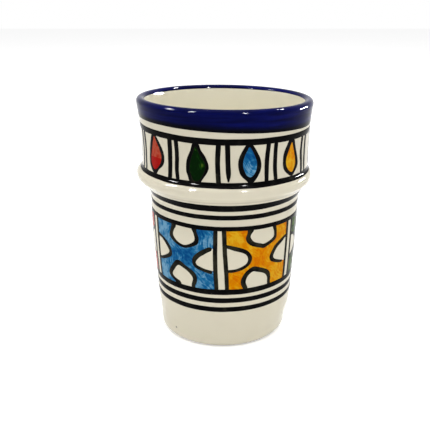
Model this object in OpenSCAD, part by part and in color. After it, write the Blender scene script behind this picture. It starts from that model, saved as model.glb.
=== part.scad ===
// Hand-thrown and hand-painted earthenware cup.
// A tapered body, a rolled belt and a waisted collar are one thrown wall. White glaze covers it inside and
// out, and the brushed bands, drops and panels lie on that glaze.
// The cup stands on Z = 0 on its own axis, and its front faces -Y.

/* [Thrown body] */
// Height of the cup
cup_h = 116.5; // [110:0.5:124]
// Radius of the wall at the collar's waist
collar_r = 39.7; // [37:0.1:44]
// Radius of the collar's inward curve
collar_curve_r = 170; // [140:1:220]
// Height of the collar's waist above the belt's crest
waist_above_belt = 9.8; // [8.5:0.1:12]
// Distance that the neck is set in from the collar's waist
neck_in = 3.7; // [2.8:0.1:5]
// Height of the neck below the belt's crest
neck_below_belt = 6.2; // [5:0.1:8]
// Radius of the long curve down the side of the body
body_curve_r = 550; // [450:10:750]
// Thickness of the wall, glaze included
wall_t = 3.8; // [3.2:0.1:5]

/* [Belt] */
// Height of the belt's crest
belt_h = 80.2; // [78:0.1:83]
// Distance that the belt stands out from the collar's waist
belt_out = 2.4; // [1.8:0.1:3]
// Roundness of the belt's shoulder, over its crest
belt_over_r = 3.4; // [2.8:0.1:4.2]
// Roundness of the belt's underside
belt_under_r = 4; // [3.2:0.1:5]
// Radius of the hollow under the belt
neck_hollow_r = 10.8; // [8:0.1:12]
// Radius of the corner over the belt
collar_fillet_r = 1.5; // [1:0.1:2.5]

/* [Inside and foot] */
// Thickness of the floor, glaze included
floor_t = 6; // [5:0.1:8]
// Radius of the corner between floor and wall
floor_corner_r = 9; // [5:0.5:12]
// Radius of the hollow's corner over the inner shoulder
shoulder_hollow_r = 6; // [5:0.1:8]
// Radius of the inner shoulder's edge
shoulder_edge_r = 6; // [5:0.1:8]
// Depth of the inner shoulder's edge below the belt's crest
shoulder_below_belt = 3.2; // [1.5:0.1:5]
// Radius of the bottom edge
base_edge_r = 3.5; // [2.5:0.1:4.5]
// Angle below level at which the glaze stops on the bottom edge
glaze_end_angle = 65; // [50:1:72]
// Bevel outside the foot ring
foot_bevel = 0.7; // [0.4:0.1:1]
// Width of the foot ring
foot_w = 6; // [4:0.1:9]
// Depth of the hollow inside the foot ring
foot_recess = 1.2; // [0.6:0.1:2]

/* [Glaze and paint] */
// Thickness of the white glaze
glaze_t = 0.4; // [0.3:0.05:0.6]
// Thickness of the paint on the glaze
paint_t = 0.2; // [0.15:0.05:0.3]
// Width of the brush's upright strokes and outlines
brush_w = 1.75; // [1.2:0.05:2.1]
// Depth of the cobalt band below the lip, outside
rim_band_w = 9.4; // [7:0.1:10.5]
// Depth of the cobalt band below the lip, inside
rim_inside_w = 2.2; // [2.1:0.1:5]

/* [Row of drops] */
// Bare glaze between the cobalt band and the row of drops
rim_gap = 2.9; // [1.5:0.1:4]
// Width of the band over the drops
frieze_top_w = 2.7; // [1.5:0.1:3.2]
// Distance of the band under the drops above the belt's crest
frieze_above_belt = 2.7; // [2:0.1:3.5]
// Width of the band under the drops
frieze_bottom_w = 2.2; // [1.2:0.1:2.8]
// Number of drops
drop_count = 10; // [8:1:11]
// Angle between neighbours of the four drops at the front, where the others share the rest of the way round
front_angle = 32.7; // [30:0.1:36]
// Width of a drop over its outline
drop_w = 10; // [7:0.1:11]
// Fullness of a drop's shoulder, where more draws out the point
drop_point = 0.7; // [0.4:0.05:1.2]
// Bare glaze between the strokes of a pair
stroke_gap = 2.35; // [1.2:0.05:3]
// Turn of the row of drops from the front
frieze_turn = -1.4; // [-15:0.1:15]

/* [Panels] */
// Distance of the upper neck line below the belt's crest
neck_line_drop = 6.3; // [5.5:0.1:7.5]
// Width of the upper neck line
neck_line_upper_w = 2.7; // [1.5:0.1:3.2]
// Bare glaze between the neck lines
neck_line_gap = 2.4; // [1.2:0.1:3]
// Width of the lower neck line
neck_line_lower_w = 1.8; // [1.2:0.1:2.6]
// Bare glaze between the neck lines and the panels
panel_top_gap = 3.4; // [2:0.1:4.5]
// Width of the band over the panels
panel_top_w = 1.8; // [1.2:0.1:2.6]
// Width of the band under the panels
panel_bottom_w = 2.5; // [1.5:0.1:3]
// Number of panels
panel_count = 6; // [5:1:7]
// Bare glaze between the lines of a divider
strip_w = 2.9; // [1.5:0.1:4]
// Turn of the first divider from the front
panel_turn = -3.4; // [-15:0.1:15]
// Half width of the bare oval at a panel's top and bottom, as a share of the panel's width
oval_w_ratio = 0.2; // [0.15:0.005:0.215]
// Half height of the bare oval at a panel's top and bottom, as a share of the panel's height
oval_h_ratio = 0.17; // [0.12:0.005:0.18]
// Distance of that oval's middle from the band, as a share of the panel's height
oval_in_ratio = 0.135; // [0.085:0.005:0.15]
// Depth of the bare half oval at a panel's sides, as a share of the panel's width
side_oval_w_ratio = 0.28; // [0.2:0.005:0.3]
// Half height of the bare half oval at a panel's sides, as a share of the panel's height
side_oval_h_ratio = 0.18; // [0.12:0.005:0.195]

/* [Lines at the base] */
// Height of the lower base line
base_line_h = 20.5; // [16:0.1:22]
// Width of the lower base line
base_line_lower_w = 2.3; // [1.5:0.1:3]
// Bare glaze between the base lines
base_line_gap = 2.6; // [1.5:0.1:3.2]
// Width of the upper base line
base_line_upper_w = 2.4; // [1.5:0.1:3]
// Bare glaze between the base lines and the panels
panel_bottom_gap = 2; // [1.2:0.1:3]

/* [Hidden] */

$fn = 96;
// Steps along a short and along a long curve of the wall
short_steps = 6;
long_steps = 10;
// Angle between the points of a painted oval or drop
outline_step = 15;

// Order of the colours to the right round the cup. The drops start with the first of those at the front, and
// the panels start right of the front.
drop_colours = ["red", "green", "blue", "yellow"];
panel_colours = ["orange", "green", "blue", "orange", "red", "blue"];

clay_colour = "#c99a78";
white_colour = "#ddd6c4";
cobalt_colour = "#12125a";
black_colour = "#121216";
red_colour = "#b32413";
green_colour = "#1e3a12";
blue_colour = "#2a6fb0";
yellow_colour = "#dc9418";

// The wall's curves meet in tangents, so each centre follows from its neighbours and its height.
neck_r = collar_r - neck_in;
belt_r = collar_r + belt_out;
lip_r = wall_t / 2;
body_c = [neck_r - body_curve_r, belt_h - neck_below_belt];
belt_over_c = [belt_r - belt_over_r, belt_h];
belt_under_c = [belt_r - belt_under_r, belt_h];
collar_c = [collar_r + collar_curve_r, belt_h + waist_above_belt];
neck_c = meet(body_c, body_curve_r + neck_hollow_r, belt_under_c, belt_under_r + neck_hollow_r, -1);
fillet_c = meet(belt_over_c, belt_over_r + collar_fillet_r, collar_c, collar_curve_r - collar_fillet_r, 1);
lip_c = at_height(collar_c, collar_curve_r + lip_r, cup_h - lip_r, -1);
base_c = at_height(body_c, body_curve_r - base_edge_r, base_edge_r, 1);
floor_c = at_height(body_c, body_curve_r - wall_t - floor_corner_r, floor_t + floor_corner_r, 1);
edge_c = at_height(body_c, body_curve_r - wall_t + shoulder_edge_r, belt_h - shoulder_below_belt, 1);
hollow_c = meet(edge_c, shoulder_edge_r + shoulder_hollow_r,
    collar_c, collar_curve_r + wall_t + shoulder_hollow_r, 1);

// Heights of the painted bands, each measured from the feature that it follows
rim_band_low = cup_h - rim_band_w;
rim_inside_low = cup_h - rim_inside_w;
frieze_top_low = rim_band_low - rim_gap - frieze_top_w;
frieze_bottom_low = belt_h + frieze_above_belt;
drops_low = frieze_bottom_low + frieze_bottom_w;
drops_h = frieze_top_low - drops_low;
neck_line_upper_low = belt_h - neck_line_drop - neck_line_upper_w;
neck_line_lower_low = neck_line_upper_low - neck_line_gap - neck_line_lower_w;
panel_top_low = neck_line_lower_low - panel_top_gap - panel_top_w;
base_line_upper_low = base_line_h + base_line_lower_w + base_line_gap;
panel_bottom_low = base_line_upper_low + base_line_upper_w + panel_bottom_gap;
panel_low = panel_bottom_low + panel_bottom_w;
panel_h = panel_top_low - panel_low;
panel_mid = panel_low + panel_h / 2;

// Turns round the cup
front_gaps = len(drop_colours) - 1;
back_pitch = (360 - front_gaps * front_angle) / (drop_count - front_gaps);
drop_span = min(front_angle, back_pitch);
panel_pitch = 360 / panel_count;
frieze_stroke_turn = turn_of(brush_w, collar_r);
frieze_pair_turn = turn_of(stroke_gap + 2 * brush_w, collar_r);
divider_line_turn = turn_of(brush_w, neck_r);
divider_turn = turn_of(strip_w + 2 * brush_w, neck_r);
panel_span = panel_pitch - divider_turn;

// Sizes of a panel and of its bare ovals
panel_w = PI * neck_r * panel_span / 180;
oval_half_w = panel_w * oval_w_ratio;
oval_half_h = panel_h * oval_h_ratio;
oval_in = panel_h * oval_in_ratio;
side_oval_depth = panel_w * side_oval_w_ratio;
side_oval_half_h = panel_h * side_oval_h_ratio;

// Radii between which a painted outline is cut through the wall, and sizes past the wall and the lip
cut_near_r = neck_r - 2 * wall_t;
cut_far_r = belt_r + wall_t;
past_wall = 2 * belt_r;
past_lip = cup_h + wall_t;

// Centre at distance ra from a and rb from b, on the left of the way from a to b for side 1
function meet(a, ra, b, rb, side) =
    let (gap = norm(b - a), along = (gap * gap + ra * ra - rb * rb) / (2 * gap))
    let (across = side * sqrt(ra * ra - along * along), way = (b - a) / gap)
    a + along * way + across * [-way.y, way.x];

// Point at a height on the circle about c
function at_height(c, r, height, side) = [c.x + side * sqrt(r * r - pow(height - c.y, 2)), height];

// Direction from a to b, from 0 to 360 for full and from -180 to 180 otherwise
function way(a, b) = atan2(b.y - a.y, b.x - a.x);
function full_way(a, b) = (way(a, b) + 360) % 360;

// Points along an arc after its first one
function arc(c, r, from, to, steps) =
    [for (i = [1:steps]) let (a = from + (to - from) * i / steps) c + r * [cos(a), sin(a)]];

// Angle that a width takes up on a wall
function turn_of(width, r) = width / r * 180 / PI;

function reversed(points) = [for (i = [len(points) - 1:-1:0]) points[i]];

// Outer face of the wall from the foot to the lip's crest, moved out by grow
function outside(grow) = concat(
    [base_c + (base_edge_r + grow) * [cos(glaze_end_angle), -sin(glaze_end_angle)]],
    arc(base_c, base_edge_r + grow, -glaze_end_angle, way(body_c, base_c), short_steps),
    arc(body_c, body_curve_r + grow, way(body_c, base_c), way(body_c, neck_c), long_steps),
    arc(neck_c, neck_hollow_r - grow, full_way(neck_c, body_c), full_way(neck_c, belt_under_c), short_steps),
    arc(belt_under_c, belt_under_r + grow, way(belt_under_c, neck_c), 0, short_steps),
    arc(belt_over_c, belt_over_r + grow, 0, way(belt_over_c, fillet_c), short_steps),
    arc(fillet_c, collar_fillet_r - grow, full_way(fillet_c, belt_over_c), full_way(collar_c, fillet_c),
        short_steps),
    arc(collar_c, collar_curve_r - grow, full_way(collar_c, fillet_c), full_way(collar_c, lip_c), long_steps),
    arc(lip_c, lip_r + grow, way(lip_c, collar_c), 90, short_steps));

// Inner face of the wall from the lip's crest to the middle of the floor, moved into the hollow by grow
function inside(grow) = concat(
    [lip_c + [0, lip_r + grow]],
    arc(lip_c, lip_r + grow, 90, full_way(collar_c, lip_c), short_steps),
    arc(collar_c, collar_curve_r + wall_t + grow, full_way(collar_c, lip_c), full_way(collar_c, hollow_c),
        long_steps),
    arc(hollow_c, shoulder_hollow_r - grow, way(hollow_c, collar_c), way(hollow_c, edge_c), short_steps),
    arc(edge_c, shoulder_edge_r + grow, full_way(edge_c, hollow_c), full_way(edge_c, body_c), short_steps),
    arc(body_c, body_curve_r - wall_t - grow, way(body_c, edge_c), way(body_c, floor_c), long_steps),
    arc(floor_c, floor_corner_r - grow, way(body_c, floor_c), -90, short_steps),
    [[0, floor_t + grow]]);

// Pointed drop of a width and a height about its middle
function drop(width, height) =
    let (peak_sine = sqrt((1 + drop_point) / (2 + drop_point)))
    let (peak = 2 * pow(peak_sine, 1 + drop_point) * sqrt(1 - peak_sine * peak_sine))
    [for (a = [0:outline_step:360 - outline_step])
        [width / 2 * sin(a) * pow(abs(sin(a / 2)), drop_point) / peak, height / 2 * cos(a)]];

// Oval whose corners keep off its two axes, so that none of them lies in the end face of a panel
function oval(half_w, half_h) =
    [for (a = [outline_step / 2:outline_step:360]) [half_w * cos(a), half_h * sin(a)]];

// Section of the paint on the outer face between two heights
module paint_section(low, high) {
    intersection() {
        polygon(concat(outside(paint_t), reversed(outside(0))));
        translate([0, low]) square([past_wall, high - low]);
    }
}

module painted_ring(low, width) {
    rotate_extrude() paint_section(low, low + width);
}

// Patch of paint between two heights that starts at a turn from the front
module painted_patch(low, high, turn, span) {
    rotate([0, 0, turn - 90]) rotate_extrude(angle = span) paint_section(low, high);
}

// Upright stroke of paint whose middle is at a turn from the front
module painted_stroke(low, high, turn, span) {
    painted_patch(low, high, turn - span / 2, span);
}

// Solid that cuts a painted outline through the wall at a turn from the front and a height
module through_wall(turn, height) {
    rotate([0, 0, turn]) translate([0, -cut_near_r, height]) rotate([90, 0, 0])
        linear_extrude(cut_far_r - cut_near_r) children();
}

// Turn of a drop, and of the strokes on its right
function drop_at(i) =
    frieze_turn + (min(i, front_gaps) - front_gaps / 2) * front_angle + max(0, i - front_gaps) * back_pitch;
function strokes_at(i) = (drop_at(i) + drop_at(i + 1)) / 2;

module drop_cutter(i, outline) {
    through_wall(drop_at(i), drops_low + drops_h / 2)
        polygon(drop(drop_w - 2 * outline, drops_h - 2 * outline));
}

module drop_wall(i) {
    painted_patch(drops_low, drops_low + drops_h, drop_at(i) - drop_span / 2, drop_span);
}

module drops_of(name) {
    for (i = [0:drop_count - 1])
        if (drop_colours[i % len(drop_colours)] == name)
            intersection() {
                drop_wall(i);
                drop_cutter(i, brush_w);
            }
}

function panel_at(i) = panel_turn + (i + 0.5) * panel_pitch;

module panel_wall(i) {
    painted_patch(panel_low, panel_low + panel_h, panel_at(i) - panel_span / 2, panel_span);
}

// The four bare ovals of a panel, grown by the width of an outline
module panel_ovals(i, outline) {
    for (height = [panel_low + oval_in, panel_low + panel_h - oval_in])
        through_wall(panel_at(i), height) polygon(oval(oval_half_w + outline, oval_half_h + outline));
    for (side = [-1, 1])
        through_wall(panel_at(i) + side * panel_span / 2, panel_mid)
            polygon(oval(side_oval_depth + outline, side_oval_half_h + outline));
}

module panels_of(name) {
    for (i = [0:panel_count - 1])
        if (panel_colours[i % len(panel_colours)] == name)
            difference() {
                panel_wall(i);
                panel_ovals(i, brush_w);
            }
}

module clay_body() {
    foot_r = base_c.x + (base_edge_r - glaze_t) * cos(glaze_end_angle) - foot_bevel;
    color(clay_colour) rotate_extrude()
        polygon(concat(outside(-glaze_t), inside(-glaze_t),
            [[0, foot_recess], [foot_r - foot_w, foot_recess], [foot_r - foot_w, 0], [foot_r, 0]]));
}

module liner_glaze() {
    color(white_colour) rotate_extrude() polygon(concat(inside(0), reversed(inside(-glaze_t))));
}

module ground_glaze() {
    color(white_colour) rotate_extrude() polygon(concat(outside(0), reversed(outside(-glaze_t))));
}

module rim_glaze() {
    color(cobalt_colour) rotate_extrude() {
        paint_section(rim_band_low, past_lip);
        intersection() {
            polygon(concat(inside(paint_t), reversed(inside(0))));
            translate([0, rim_inside_low]) square([past_wall, past_lip - rim_inside_low]);
        }
    }
}

module frieze_top_band() {
    color(black_colour) painted_ring(frieze_top_low, frieze_top_w);
}

module frieze_bottom_band() {
    color(black_colour) painted_ring(frieze_bottom_low, frieze_bottom_w);
}

module frieze_strokes() {
    stroke_offset = (frieze_pair_turn - frieze_stroke_turn) / 2;
    color(black_colour) for (i = [0:drop_count - 1], side = [-1, 1])
        painted_stroke(drops_low, drops_low + drops_h,
            strokes_at(i) + side * stroke_offset, frieze_stroke_turn);
}

module drop_outlines() {
    color(black_colour) for (i = [0:drop_count - 1])
        intersection() {
            drop_wall(i);
            difference() {
                drop_cutter(i, 0);
                drop_cutter(i, brush_w);
            }
        }
}

module red_drops() {
    color(red_colour) drops_of("red");
}

module green_drops() {
    color(green_colour) drops_of("green");
}

module blue_drops() {
    color(blue_colour) drops_of("blue");
}

module yellow_drops() {
    color(yellow_colour) drops_of("yellow");
}

module neck_line_upper() {
    color(black_colour) painted_ring(neck_line_upper_low, neck_line_upper_w);
}

module neck_line_lower() {
    color(black_colour) painted_ring(neck_line_lower_low, neck_line_lower_w);
}

module panel_top_band() {
    color(black_colour) painted_ring(panel_top_low, panel_top_w);
}

module panel_bottom_band() {
    color(black_colour) painted_ring(panel_bottom_low, panel_bottom_w);
}

module panel_dividers() {
    line_offset = (divider_turn - divider_line_turn) / 2;
    color(black_colour) for (i = [0:panel_count - 1], side = [-1, 1])
        painted_stroke(panel_low, panel_low + panel_h,
            panel_turn + i * panel_pitch + side * line_offset, divider_line_turn);
}

module panel_outlines() {
    color(black_colour) for (i = [0:panel_count - 1])
        intersection() {
            panel_wall(i);
            difference() {
                panel_ovals(i, brush_w);
                panel_ovals(i, 0);
            }
        }
}

module blue_panels() {
    color(blue_colour) panels_of("blue");
}

module orange_panels() {
    color(yellow_colour) panels_of("orange");
}

module green_panels() {
    color(green_colour) panels_of("green");
}

module red_panels() {
    color(red_colour) panels_of("red");
}

module base_line_upper() {
    color(black_colour) painted_ring(base_line_upper_low, base_line_upper_w);
}

module base_line_lower() {
    color(black_colour) painted_ring(base_line_h, base_line_lower_w);
}

clay_body();
liner_glaze();
ground_glaze();
rim_glaze();
frieze_top_band();
frieze_bottom_band();
frieze_strokes();
drop_outlines();
red_drops();
green_drops();
blue_drops();
yellow_drops();
neck_line_upper();
neck_line_lower();
panel_top_band();
panel_bottom_band();
panel_dividers();
panel_outlines();
blue_panels();
orange_panels();
green_panels();
red_panels();
base_line_upper();
base_line_lower();
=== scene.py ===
"""Hand-thrown, hand-painted earthenware cup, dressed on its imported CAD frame.

Clay, glaze coats and the cobalt lip are turned from the sections of the CAD solids. Bands, drops and
panels are drawn flat and laid on the wall by one Geometry Nodes tree. The frame is in metres, with the
front to -Y.
"""
import math

import bmesh
import bpy
import numpy as np
from bpy.props import FloatProperty, FloatVectorProperty, IntProperty, PointerProperty
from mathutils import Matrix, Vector


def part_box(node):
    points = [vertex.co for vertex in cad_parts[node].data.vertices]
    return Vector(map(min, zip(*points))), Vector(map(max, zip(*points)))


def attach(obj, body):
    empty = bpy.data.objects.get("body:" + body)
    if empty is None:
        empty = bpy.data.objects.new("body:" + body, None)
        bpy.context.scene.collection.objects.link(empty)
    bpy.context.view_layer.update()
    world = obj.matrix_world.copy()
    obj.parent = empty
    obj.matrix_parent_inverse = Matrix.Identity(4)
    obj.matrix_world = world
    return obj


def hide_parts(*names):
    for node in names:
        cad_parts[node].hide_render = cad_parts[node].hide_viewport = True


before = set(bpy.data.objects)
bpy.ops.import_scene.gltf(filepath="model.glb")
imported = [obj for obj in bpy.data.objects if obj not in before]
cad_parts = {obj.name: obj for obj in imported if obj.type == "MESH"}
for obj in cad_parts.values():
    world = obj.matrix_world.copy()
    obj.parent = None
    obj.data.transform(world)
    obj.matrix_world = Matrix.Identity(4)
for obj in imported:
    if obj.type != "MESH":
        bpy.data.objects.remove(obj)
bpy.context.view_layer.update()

MM = 0.001

bl_info = {
    "name": "Painted Earthenware Cup",
    "version": (1, 0, 0),
    "blender": (4, 5, 0),
    "location": "View3D > Sidebar > Cup",
    "description": "Thrown cup with a white glaze, a cobalt lip and brushed bands, drops and panels",
    "category": "Add Mesh",
}

# Drawings, as (turn from the front in degrees, height in mm), with the front at 0 and right positive.
# Each drop has the outer edge of its brushed outline and the edge of its colour.
DROPS = {
    "red": (
        ((-51.5, 104), (-48.6, 102.2), (-43.6, 97.3), (-42.3, 94.9), (-42.4, 91.4), (-44.2, 89.4),
         (-48, 87.4), (-50.4, 85.2), (-53.4, 85.2), (-58.8, 88.8), (-57.8, 97), (-56.2, 100),
         (-54.6, 102.4)),
        ((-51.2, 102.4), (-49.8, 100.8), (-45, 94.1), (-46, 90.6), (-52.4, 87), (-55.8, 88.6),
         (-57, 91.2), (-53.4, 99.4)),
    ),
    "green": (
        ((-18, 103.6), (-15.8, 101.8), (-14.4, 99.1), (-11.9, 96.5), (-9.7, 92), (-10.3, 89.9),
         (-13.5, 86.4), (-15.4, 84.6), (-21.8, 84.6), (-23.6, 87.2), (-24.7, 89.4), (-24.2, 94.1),
         (-21.2, 99.1), (-20, 101.8)),
        ((-18, 100.6), (-15.2, 97), (-12.6, 94), (-12, 91.8), (-13.2, 88.8), (-16.6, 85.5),
         (-19.5, 85.5), (-21.9, 89.2), (-22.2, 92), (-19.2, 98.6)),
    ),
    "blue": (
        ((15.4, 103), (17.8, 101.2), (23.2, 94), (22.7, 89.4), (17.8, 84.5), (16, 84.3), (13.3, 86),
         (10.9, 87.6), (9.4, 89.5), (8.6, 94.4), (11.2, 99.1)),
        ((15.4, 100.5), (19.9, 95), (20.5, 92.7), (20, 90.1), (18.6, 88.3), (16.6, 87.2), (14.5, 87.7),
         (11.9, 91.5), (11.7, 94.1), (12.7, 96.8), (14.2, 99)),
    ),
    "yellow": (
        ((47.5, 103), (49.8, 101.2), (50.8, 99), (51.8, 97), (55.3, 89.4), (51.6, 86), (48.8, 84.6),
         (41.9, 87.5), (40.2, 89.4), (39.8, 94), (40.6, 96.6), (42.2, 98.8), (44.2, 101.2)),
        ((47.3, 100.2), (48.8, 97.8), (51.7, 92), (52, 89.8), (48.7, 86.5), (43.5, 89.2), (42.7, 93.2),
         (45.6, 98)),
    ),
}
# How thin a drop's wash lies above a height and below it,
# and that height and half the width of the change in mm
DROP_WASHES = {
    "red": (0.9, -0.3, 92.1, 0.25),
    "green": (-0.3, -0.3, 92, 4),
    "blue": (0.2, 0.62, 94.5, 3),
    "yellow": (0.2, 0.75, 95.5, 4),
}
# Dabs where a wash lies thinner, or thicker below zero: turn, height, reach in mm and change
DROP_DABS = {"green": ((-13.9, 92.4, 1.5, 2), (-18.2, 98.7, 0.6, 1.6))}
# Turns of the drops round the cup, in the order of their colours, and of the pairs of strokes, each with
# the number of its drawing
DROP_TURNS = (-50.45, -17.75, 14.95, 47.65, 85.06, 122.47, 159.87, 197.28, 234.69, 272.1)
STROKE_TURNS = ((-34.4, 0), (-1.4, 1), (30.7, 2), (62.6, 3), (103.8, 0), (141.2, 1), (178.6, 2),
                (216, 0), (253.4, 1), (291.3, 0))
# Pairs of strokes between the drops, each stroke from its top to its bottom, with its widths in mm
STROKE_PAIRS = (
    (((-36.4, 103.8, 2.25), (-36.7, 95, 2.3), (-37.3, 84.8, 2.15)),
     ((-31.5, 103.4, 2), (-31.2, 95, 1.95), (-31.6, 89.4, 1.9), (-30.9, 85, 1.8))),
    (((-3.6, 102.6, 2), (-4.1, 94, 2), (-3.5, 84.4, 1.95)),
     ((1.75, 102.4, 2.05), (2.3, 94, 1.95), (2.65, 88.4, 1.85), (2.6, 85.6, 0.7))),
    (((28.2, 102.2, 1.9), (27.25, 94, 1.98), (27.2, 84.2, 1.8)),
     ((33.5, 102.2, 1.85), (33.3, 93.5, 1.95), (33.4, 89.5, 1.95), (34.3, 84.2, 1.8))),
    (((60.1, 102.2, 1.9), (59.2, 94, 1.98), (60.2, 90, 1.9), (60.9, 84.2, 1.8)),
     ((65.4, 102.2, 1.85), (65.2, 93.5, 1.95), (65.3, 89.5, 1.95), (66.2, 84.2, 1.8))),
)
# The two ways that a panel's four bare ovals are drawn: at the top, at the foot, on the left and on the
# right. Each has the outer edge of its outline and the edge of the bare glaze. Both run on under the
# bands and dividers.
PANEL_OVALS = {
    "first": (
        (((-42.6, 65), (-42.6, 61.2), (-45, 56.6), (-44.3, 55.3), (-39.4, 53.1), (-31.4, 51.7),
          (-27.6, 52.2), (-20.1, 54.6), (-19, 56.5), (-19.2, 58.2), (-20.4, 60.2), (-21.6, 65)),
         ((-38, 65), (-38.1, 61.7), (-38.6, 60.8), (-40, 59.6), (-41.4, 56.8), (-37.6, 54.2), (-31, 53),
          (-23.2, 55.4), (-22.1, 56.8), (-23, 59.8), (-24.4, 61.7), (-25, 65))),
        (((-41, 30), (-42, 32.9), (-44.4, 33.7), (-46.8, 34.6), (-48.2, 35.6), (-48.4, 36.8),
          (-46.1, 39.6), (-44, 41.1), (-39.8, 44), (-37, 44.4), (-34.4, 44), (-31.6, 43), (-23.6, 40.2),
          (-21.7, 38.6), (-21.3, 36.6), (-21.9, 34.8), (-23.1, 33.2), (-24.4, 30)),
         ((-35.2, 30), (-35.8, 32.6), (-37.2, 33.8), (-39.4, 34.2), (-43.4, 35.3), (-44.6, 36.2),
          (-44, 37.5), (-42.5, 38.7), (-38.9, 41.4), (-37.2, 42), (-28.4, 39.7), (-24.7, 37),
          (-25.8, 34), (-27.4, 30))),
        (((-66, 54.8), (-58.4, 54.4), (-53.9, 53.7), (-47.6, 51.7), (-44.1, 48.7), (-44.3, 45.8),
          (-54, 42.4), (-61.2, 41.3), (-66, 41)),
         ((-66, 53), (-59.6, 53), (-56.4, 52.8), (-53, 51.8), (-46.8, 47.9), (-46.9, 47), (-48.4, 46),
          (-58.4, 42.9), (-66, 42.4))),
        (((-9.5, 40.4), (-18, 41.7), (-22, 42.7), (-24, 44.1), (-24.3, 47.1), (-19.6, 50.5),
          (-10.8, 53.5), (-9.5, 53.2), (-9.3, 52.4), (-10, 51.6), (-12, 48), (-10.6, 43.4),
          (-9.2, 41.7)),
         ((-4, 41.8), (-8.8, 41.8), (-14.8, 42.5), (-18, 43.3), (-20.8, 44.1), (-21.8, 45.4),
          (-18.5, 48.3), (-15.6, 49.5), (-12.6, 50.8), (-9.6, 51.9), (-8.6, 53), (-4, 53))),
    ),
    "second": (
        (((16.6, 65), (17.3, 60.5), (16, 57.6), (16.5, 56.2), (18.2, 54.8), (21, 53.6), (28.4, 52),
          (30.4, 51.6), (33.2, 52.2), (41.6, 54.7), (42.5, 56), (42.2, 59.5), (41.6, 61.2), (41.2, 65)),
         ((22, 65), (22.1, 61.6), (21.4, 60.5), (20.1, 59.5), (19.4, 58.2), (21.8, 55.7), (28.4, 54),
          (30.4, 53.6), (39.5, 56), (39.8, 58.5), (37.9, 61.6), (37.6, 65))),
        (((15, 30), (14.6, 32.4), (13.6, 33.5), (12.8, 35.2), (13, 37), (16.2, 40.5), (21.2, 42.7),
          (23.8, 42.9), (27, 42.2), (34.8, 40), (37.3, 38.5), (38.4, 36.5), (38.5, 34), (38, 30)),
         ((18.5, 30), (18.1, 32.5), (16.5, 35.7), (18.2, 38.7), (22.5, 40.6), (24.8, 40.2),
          (31.5, 38.7), (34, 37.5), (35.4, 36), (35.7, 34), (35.4, 30))),
        (((-4, 55), (0.8, 54.9), (15.2, 52.2), (17.8, 51), (20.8, 47.9), (19.6, 44.8), (14.6, 42.4),
          (6.2, 41.1), (3, 41.1), (-4, 41)),
         ((-4, 53.4), (1.6, 53.2), (7.4, 51.85), (13.8, 50.5), (16.4, 49.4), (17.7, 47.7), (17.7, 46.3),
          (16.4, 44.8), (9.8, 42.8), (2.6, 42.4), (-4, 42.4))),
        (((58, 54.6), (52.6, 54.5), (41.7, 51.4), (39.7, 49.9), (36.8, 46.7), (37, 45.1), (38.9, 43.6),
          (51.2, 41.3), (51.6, 41.9), (51, 42.6), (49, 47), (52, 52), (58, 52.6)),
         ((58, 53.2), (53, 53.2), (51, 52.4), (44.8, 50.3), (42.4, 48.8), (40.3, 46), (41.3, 44.7),
          (48.3, 42.7), (51, 42.2), (52.4, 41.8), (58, 41.6))),
    ),
}
# Dabs of the two panels' washes, as for the drops
PANEL_DABS = {
    "first": (
        (-52, 60, 5, 0.7), (-57, 57, 4, 0.4), (-46, 62, 3, -0.5), (-12.5, 56.5, 3.5, 0.6),
        (-13, 61.5, 3.5, -0.8), (-18.5, 60, 2, -0.5), (-30, 47, 4.5, -0.7), (-38, 48.5, 4, -0.4),
        (-43, 52, 2.5, 0.4), (-58, 37, 5, 0.7), (-52, 35, 5, 0.5), (-18.5, 37, 3.5, 0.6),
        (-12, 37, 3.5, -0.5), (-25, 51, 3, -0.3)),
    "second": (
        (8.5, 58.5, 3.5, 0.8), (4, 56.5, 3, 0.5), (15, 61, 3, -0.7), (6, 61.5, 2, -0.4),
        (21, 50.5, 2, 0.6), (30, 47.5, 5, -0.6), (23, 44.7, 2.5, -0.7), (35.5, 45, 1.8, 0.6),
        (15.5, 42, 2, 0.7), (10.5, 37.5, 4.5, -0.7), (3.6, 35, 2, 0.5), (45, 60.5, 3, -0.6),
        (50, 58, 3.5, 0.5), (48, 37, 6, 0.4)),
}
# Lines of the divider at the front and of a plain one, drawn as the strokes are
DIVIDERS = {
    "front": (((-6.35, 62.4, 1.95), (-6.75, 50, 2.1), (-6.65, 42, 2.1), (-6.1, 31.4, 2)),
              ((-0.3, 62.4, 2.1), (0.5, 50, 2.05), (1.4, 42, 2.05), (2.1, 31.4, 1.95))),
    "plain": (((55.8, 62.2, 2), (55.8, 47, 2.05), (55.7, 31.4, 2)),
              ((63, 62.2, 1.95), (62.9, 47, 2), (63, 31.4, 1.95))),
}
# Turns of the six dividers, the front one first, and the panel from which each way of drawing was taken
DIVIDER_TURNS = (-3.4, 58.4, 117.2, 176.1, 235, 293.8)
DRAWN_PANELS = {"second": 0, "first": 5}
# Colours of the panels to the right of each divider, and of the drops in the order of their turns
PANEL_COLOURS = ("orange", "green", "blue", "orange", "red", "blue")
DROP_COLOURS = ("red", "green", "blue", "yellow")
# Lower and upper edge of each band against the CAD's, in mm: rise all round, to the right and at the front
BAND_EDGES = {
    "frieze_top_band": ((0.8, -0.95, -0.9), (0.75, -0.95, -0.75)),
    "frieze_bottom_band": ((0.1, -0.6, -0.35), (-0.1, -0.4, 0)),
    "neck_line_upper": ((0.5, -0.25, -0.9), (0.2, -0.3, 0)),
    "neck_line_lower": ((-0.1, -0.35, -0.22), (0.15, -0.2, -0.05)),
    "panel_top_band": ((-0.3, -0.7, 0), (0, -0.7, 0)),
    "panel_bottom_band": ((0, 0, -0.3), (0, 0, 0)),
    "base_line_upper": ((0, 0, -0.15), (0.1, -0.15, -0.1)),
    "base_line_lower": ((0.2, 0.2, -0.2), (0.25, 0, 0)),
}
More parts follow.
